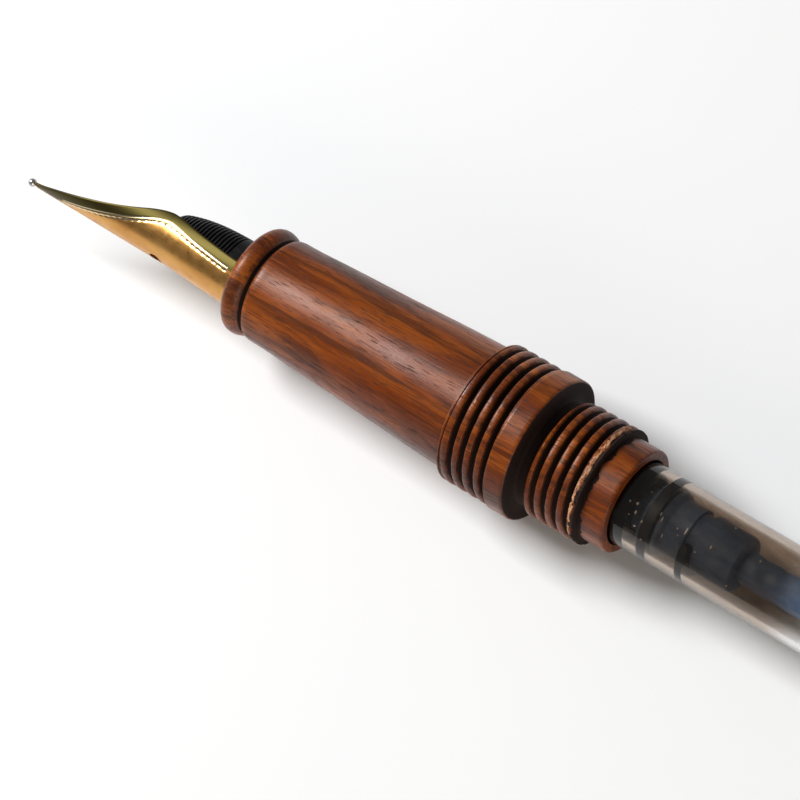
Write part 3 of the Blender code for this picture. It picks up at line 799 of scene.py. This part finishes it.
def turned_wood():
    """Oiled tropical hardwood: red-brown figure along the pen and dark vessel lines, with painted shade in
    the thread hollows, a ragged band that is partly burn stain and partly painted shade, and a painted
    highlight line at the grip flare's edge.
    """
    look = Surface("turned_wood")
    figure = look.noise((0.045, 0.3, 0.3), 4.0, 0.55, 0.5)
    colour = look.ramp(
        figure, (0.3, (0.08, 0.0135, 0.0018)), (0.45, (0.152, 0.028, 0.0028)), (0.57, (0.242, 0.053, 0.0045)),
        (0.72, (0.365, 0.096, 0.01)),
    )
    smudges = look.noise((0.09, 0.42, 0.42), 5.0, 0.66, 0.8)
    colour = look.mix(look.ramp(smudges, (0.5, 0.0), (0.66, 0.7)), colour, (0.04, 0.01, 0.004))
    stripes = look.noise((0.04, 1.1, 1.1), 5.0, 0.62, 0.3)
    colour = look.mix(look.ramp(stripes, (0.5, 0.0), (0.64, 0.62)), colour, (0.035, 0.008, 0.003))
    fibres = look.noise((0.16, 5.5, 5.5), 4.0, 0.65)
    colour = look.mix(look.ramp(fibres, (0.32, 0.5), (0.55, 0.0)), colour, (0.06, 0.013, 0.004))
    colour = look.mix(look.ramp(fibres, (0.56, 0.0), (0.75, 0.35)), colour, (0.4, 0.13, 0.03))
    pores = look.noise((0.5, 8.5, 8.5), 2.0, 0.5, 0.1)
    pore_mask = look.ramp(pores, (0.57, 0.0), (0.66, 0.6))
    colour = look.mix(pore_mask, colour, (0.014, 0.004, 0.003))

    radial = radius_of(look)
    along = along_pen(look)
    raw = torn_edge(look, radial, along)
    colour = look.mix(raw, colour, (0.55, 0.28, 0.14))
    # Painted highlight: a thin lighter line on the grip flare's edge, where the light catches it
    flare_edge_highlight = between(look, along, 24.28, 24.42, 0.06)
    colour = look.mix(look.maths("MULTIPLY", flare_edge_highlight, 0.6), colour, (0.42, 0.2, 0.1))
    # Painted shade: near-black colour in the thread hollows, on the shoulder, in the relief and in the bores
    painted_groove_shade = groove_shade(look, radial, along)
    colour = look.mix(painted_groove_shade, colour, (0.006, 0.0022, 0.0014))

    polish = look.noise((0.3, 1.1, 1.1), 4.0, 0.6)
    rough = look.ramp(polish, (0.3, 0.28), (0.7, 0.38))
    for mask in (pore_mask, painted_groove_shade, raw):
        rough = look.mix(mask, rough, (0.8, 0.8, 0.8))
    lathe_lines = look.noise((5.0, 0.25, 0.25), 3.0, 0.6)
    normal = look.bump(pores, -0.5, 0.03)
    normal = look.bump(fibres, 0.45, 0.03, normal)
    normal = look.bump(lathe_lines, 0.12, 0.012, normal)
    look.drive(Base_Color=colour, Roughness=rough, Normal=normal)
    look.set(IOR=1.38, Specular_Tint=(1.0, 0.86, 0.8, 1.0))
    return look.material


def torn_edge(look, radial, along):
    """Raw, paler fibres on the last crest of the barrel thread, where the tool ran out."""
    ragged = wander(look, look.noise((0.2, 0.9, 0.9), 3.0, 0.7), 1.1)
    crest = between(look, look.maths("ADD", along, ragged), *TORN_CREST_S, 0.12)
    high = between(look, radial, 4.75, 5.4, 0.12)
    flecks = look.ramp(look.noise((3.2, 2.0, 2.0), 4.0, 0.75), (0.42, 0.15), (0.54, 1.0))
    return look.maths("MULTIPLY", look.maths("MULTIPLY", crest, high), flecks)


def wander(look, noise_value, reach):
    """Noise made to swing about 0, for a border that wanders."""
    return look.maths("MULTIPLY", look.maths("SUBTRACT", noise_value, 0.5), reach)


def along_pen(look):
    """The place along the pen, s."""
    parts = look.add("ShaderNodeSeparateXYZ", ("Vector", look.place((1.0, 1.0, 1.0))))
    return look.maths("ADD", parts.outputs["X"], ORIGIN_S)


def radius_of(look):
    """The distance from the pen's axis in millimetres."""
    parts = look.add("ShaderNodeSeparateXYZ", ("Vector", look.place((1.0, 1.0, 1.0))))
    up = look.maths("SUBTRACT", parts.outputs["Z"], AXIS_Z)
    squares = look.maths("ADD", look.maths("POWER", parts.outputs["Y"], 2.0), look.maths("POWER", up, 2.0))
    return look.maths("SQRT", squares)


def between(look, value, low, high, soft):
    """1 between low and high, fading to 0 over soft on both sides."""
    rise = look.add(
        "ShaderNodeMapRange", ("Value", value), ("From Min", low - soft), ("From Max", low),
        interpolation_type="SMOOTHSTEP",
    ).outputs["Result"]
    fall = look.add(
        "ShaderNodeMapRange", ("Value", value), ("From Min", high), ("From Max", high + soft),
        ("To Min", 1.0), ("To Max", 0.0), interpolation_type="SMOOTHSTEP",
    ).outputs["Result"]
    return look.maths("MULTIPLY", rise, fall)


def groove_shade(look, radial, along):
    """Painted shade: near-black colour at the bottom of each thread groove, behind the bead, on the shoulder,
    in the relief and in the bores, where shade falls. The ragged band behind the barrel thread is partly a
    burn stain and partly painted shade.
    """

    def zone(start, end, low, high, soft_s=0.05, soft_r=0.16):
        lengthwise = between(look, along, start, end, soft_s)
        return look.maths("MULTIPLY", lengthwise, between(look, radial, low, high, soft_r))

    shade = zone(24.4, 29.5, 5.0, 5.95)
    scallop = wander(look, look.noise((0.1, 0.8, 0.8), 3.0, 0.6), 1.3)
    # The ragged band is partly a burn stain and partly painted shade
    burnt_and_shaded = between(look, look.maths("ADD", along, scallop), *BURNT_AND_SHADED_BAND_S, 0.1)
    others = [
        zone(32.2, 37.3, 4.0, 4.92),
        look.maths("MULTIPLY", burnt_and_shaded, between(look, radial, 4.0, 5.2, 0.14)),
        zone(2.42, 2.8, 4.0, 4.36, 0.09, 0.14),
        zone(LAND_S[1] - 0.02, RELIEF_END_S + 0.16, 3.0, 6.2, 0.03, 0.12),
        zone(0.0, 50.0, 3.0, 3.84, 0.05, 0.08),
    ]
    for other in others:
        shade = look.maths("MAXIMUM", shade, other)
    return look.maths("MULTIPLY", shade, 0.97)


def black_plastic():
    look = Surface("black_plastic")
    mottle = look.noise((1.4, 1.4, 1.4), 5.0)
    scuffs = look.noise((0.6, 7.0, 7.0), 3.0, 0.7)
    look.drive(
        Base_Color=look.ramp(mottle, (0.3, (0.004, 0.004, 0.0045)), (0.7, (0.01, 0.01, 0.011))),
        Roughness=look.ramp(scuffs, (0.35, 0.4), (0.65, 0.56)),
        Normal=look.bump(look.noise((9.0, 9.0, 9.0), 3.0), 0.12, 0.01),
    )
    return look.set(Specular_IOR_Level=0.15).material


def gold():
    """Gold plate on steel, satin from polishing, with fine lengthwise brush lines."""
    look = Surface("gold")
    cloud = look.noise((0.25, 0.5, 0.5), 4.0)
    tarnish = look.noise((1.2, 1.2, 1.2), 5.0, 0.6)
    brush = look.noise((0.9, 26.0, 26.0), 3.0, 0.6)
    colour = look.ramp(cloud, (0.3, (0.62, 0.3, 0.08)), (0.7, (0.74, 0.4, 0.12)))
    colour = look.mix(look.ramp(tarnish, (0.55, 0.0), (0.75, 0.3)), colour, (0.42, 0.2, 0.06))
    # Painted reflection: a near-black base on the strip along the nib's edge stands for the dark surroundings
    # it mirrors
    border = look.add("ShaderNodeAttribute", attribute_name="border").outputs["Fac"]
    colour = look.mix(border, colour, (0.07, 0.055, 0.016))
    lines = look.ramp(brush, (0.4, 0.0), (0.7, 0.07))
    rough = look.maths("ADD", look.ramp(tarnish, (0.3, 0.26), (0.7, 0.36)), lines)
    rough = look.mix(border, rough, (0.45, 0.45, 0.45))
    line = look.add("ShaderNodeAttribute", attribute_name="engraved").outputs["Fac"]
    rough = look.mix(line, rough, (0.14, 0.14, 0.14))
    colour = look.mix(line, colour, (0.8, 0.66, 0.4))
    normal = look.bump(brush, 0.18, 0.01)
    look.drive(Base_Color=colour, Roughness=rough, Normal=normal)
    return look.set(Metallic=1.0).material


def tipping_metal():
    look = Surface("tipping_metal")
    grind = look.noise((14.0, 14.0, 14.0), 4.0)
    look.drive(
        Base_Color=look.ramp(grind, (0.3, (0.48, 0.47, 0.45)), (0.7, (0.64, 0.63, 0.61))),
        Roughness=look.ramp(grind, (0.3, 0.22), (0.7, 0.38)),
        Normal=look.bump(grind, 0.1, 0.01),
    )
    return look.set(Metallic=1.0).material


def clear_plastic():
    """Moulded clear plastic, stained brown-grey by ink around the plunger, with hair scratches."""
    look = Surface("clear_plastic")
    along = along_pen(look)
    film = look.noise((0.25, 0.9, 0.9), 4.0, 0.6)
    stained = look.ramp(film, (0.3, (0.38, 0.31, 0.26)), (0.7, (0.55, 0.45, 0.36)))
    cleaner = look.ramp(film, (0.3, (0.86, 0.85, 0.84)), (0.7, (0.94, 0.94, 0.94)))
    zone = between(look, along, 24.0, 54.0, 4.0)
    scratches = look.noise((0.7, 16.0, 5.0), 2.0, 0.5, 0.6)
    hair = look.ramp(scratches, (0.66, 0.0), (0.7, 1.0))
    smear = look.noise((0.5, 1.2, 1.2), 4.0, 0.6)
    rough = look.maths("ADD", look.ramp(smear, (0.35, 0.02), (0.7, 0.08)), look.maths("MULTIPLY", hair, 0.16))
    look.drive(Base_Color=look.mix(zone, cleaner, stained), Roughness=rough)
    look.drive(Normal=look.bump(look.maths("ADD", smear, look.maths("MULTIPLY", hair, 0.3)), 0.06, 0.01))
    return look.set(Transmission_Weight=1.0, IOR=1.49).material


def ink_black():
    """Ink: near black, with a faint cloudy change of tone."""
    look = Surface("ink_black")
    cloud = look.noise((0.5, 0.6, 0.6), 4.0)
    look.drive(
        Base_Color=look.ramp(cloud, (0.3, (0.011, 0.009, 0.009)), (0.7, (0.02, 0.018, 0.02))),
        Roughness=look.ramp(cloud, (0.3, 0.3), (0.7, 0.45)),
    )
    return look.set(IOR=1.34, Specular_IOR_Level=0.2).material


def seal_rubber():
    look = Surface("seal_rubber")
    grain = look.noise((7.0, 7.0, 7.0), 4.0)
    look.drive(
        Base_Color=look.ramp(grain, (0.3, (0.006, 0.006, 0.007)), (0.7, (0.013, 0.012, 0.013))),
        Roughness=look.ramp(grain, (0.3, 0.38), (0.7, 0.55)),
        Normal=look.bump(grain, 0.15, 0.02),
    )
    return look.material


def grey_plastic():
    """Blue-grey moulded plastic, wetted by ink in places."""
    look = Surface("grey_plastic")
    wet = look.noise((0.6, 1.0, 1.0), 5.0, 0.6)
    speckle = look.noise((5.0, 5.0, 5.0), 3.0)
    colour = look.ramp(wet, (0.3, (0.13, 0.24, 0.5)), (0.7, (0.22, 0.36, 0.62)))
    colour = look.mix(look.ramp(speckle, (0.55, 0.0), (0.75, 0.35)), colour, (0.16, 0.18, 0.22))
    look.drive(
        Base_Color=colour,
        Roughness=look.ramp(wet, (0.3, 0.3), (0.7, 0.48)),
        Normal=look.bump(speckle, 0.1, 0.02),
    )
    return look.material


def chrome():
    look = Surface("chrome")
    brush = look.noise((20.0, 0.6, 0.6), 3.0, 0.6)
    wear = look.noise((0.9, 0.9, 0.9), 5.0)
    lines = look.ramp(brush, (0.4, 0.0), (0.7, 0.06))
    look.drive(
        Base_Color=look.ramp(wear, (0.3, (0.6, 0.61, 0.63)), (0.7, (0.72, 0.72, 0.73))),
        Roughness=look.maths("ADD", look.ramp(wear, (0.35, 0.07), (0.7, 0.16)), lines),
        Normal=look.bump(brush, 0.05, 0.01),
    )
    return look.set(Metallic=1.0).material


def drop_painted_glint():
    """Drops and bubbles: a pale, glossy colour that paints their glints, each a little different in tint."""
    look = Surface("drop_painted_glint")
    tint = look.noise((1.7, 1.7, 1.7), 2.0)
    amber, white, straw = (0.9, 0.5, 0.28), (0.85, 0.8, 0.76), (0.9, 0.78, 0.45)
    look.drive(
        Base_Color=look.ramp(tint, (0.35, amber), (0.5, white), (0.65, straw)),
        Roughness=look.ramp(tint, (0.3, 0.1), (0.7, 0.25)),
    )
    return look.set(IOR=1.5).material


def floor_paint():
    look = Surface("floor_paint")
    cloud = look.noise((0.01, 0.01, 0.01), 4.0)
    look.drive(
        Base_Color=look.ramp(cloud, (0.3, (0.84, 0.84, 0.835)), (0.7, (0.87, 0.87, 0.865))),
        Roughness=look.ramp(cloud, (0.3, 0.55), (0.7, 0.65)),
    )
    return look.material


# ---------------------------------------------------------------- stage, light and camera


def floor(material):
    shape = bmesh.new()
    bmesh.ops.create_grid(shape, x_segments=1, y_segments=1, size=FLOOR_HALF_SIDE)
    mesh = bpy.data.meshes.new("floor")
    shape.to_mesh(mesh)
    shape.free()
    plane = bpy.data.objects.new("floor", mesh)
    bpy.context.scene.collection.objects.link(plane)
    plane.location.z = FLOOR_Z
    mesh.materials.append(material)


def softbox(name, centre, width, height, watts, colour):
    """A large soft area light that faces the origin."""
    data = bpy.data.lights.new(name, "AREA")
    data.shape = "RECTANGLE"
    data.size = width
    data.size_y = height
    data.energy = watts
    data.color = colour
    light = bpy.data.objects.new(name, data)
    bpy.context.scene.collection.objects.link(light)
    light.location = centre
    light.rotation_mode = "QUATERNION"
    light.rotation_quaternion = (-Vector(centre)).to_track_quat("-Z", "Y")


def world(strength, colour):
    made = bpy.data.worlds.new("studio")
    made.use_nodes = True
    background = made.node_tree.nodes["Background"]
    background.inputs["Color"].default_value = (*colour, 1.0)
    background.inputs["Strength"].default_value = strength
    bpy.context.scene.world = made


def camera():
    """The photograph's viewing angle: the pen's nib end points away and up to the left."""
    data = bpy.data.cameras.new("camera")
    data.lens = LENS_MM
    data.sensor_width = SENSOR_MM
    data.clip_start = 0.01
    eye = bpy.data.objects.new("camera", data)
    bpy.context.scene.collection.objects.link(eye)
    right = Vector((0.7876, 0.5704, -0.2326))
    up = Vector((-0.4665, 0.7988, 0.3796))
    back = Vector((0.4024, -0.1904, 0.8953))
    turn = Matrix((right, up, back)).transposed().to_4x4()
    eye.matrix_world = Matrix.Translation(CAMERA_PLACE) @ turn
    bpy.context.scene.camera = eye


def build():
    bpy.context.scene.view_settings.view_transform = "Standard"
    wood = turned_wood()
    black = black_plastic()
    metal = gold()
    blue_grey = grey_plastic()
    rubber = seal_rubber()

    grip_section(wood)
    nib_housing(black)
    nib(metal)
    nib_tipping(tipping_metal())
    feed(black)
    converter_tube(clear_plastic())
    ink(ink_black())
    drops(drop_painted_glint())
    ferrule(chrome())
    rod_guide(black)
    plunger_core(blue_grey)
    front_seal(rubber)
    rear_seal(rubber)
    piston_rod(blue_grey)
    drive_spindle(blue_grey)
    knob(black)

    floor(floor_paint())
    softbox("key", (-0.54, -0.02, 0.6), 0.34, 0.34, 7.8, (0.97, 0.98, 1.0))
    softbox("fill", (0.5, -0.6, 0.3), 0.5, 0.4, 2.1, (1.0, 0.9, 0.78))
    world(0.16, (1.0, 0.985, 0.97))
    camera()


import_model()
build()
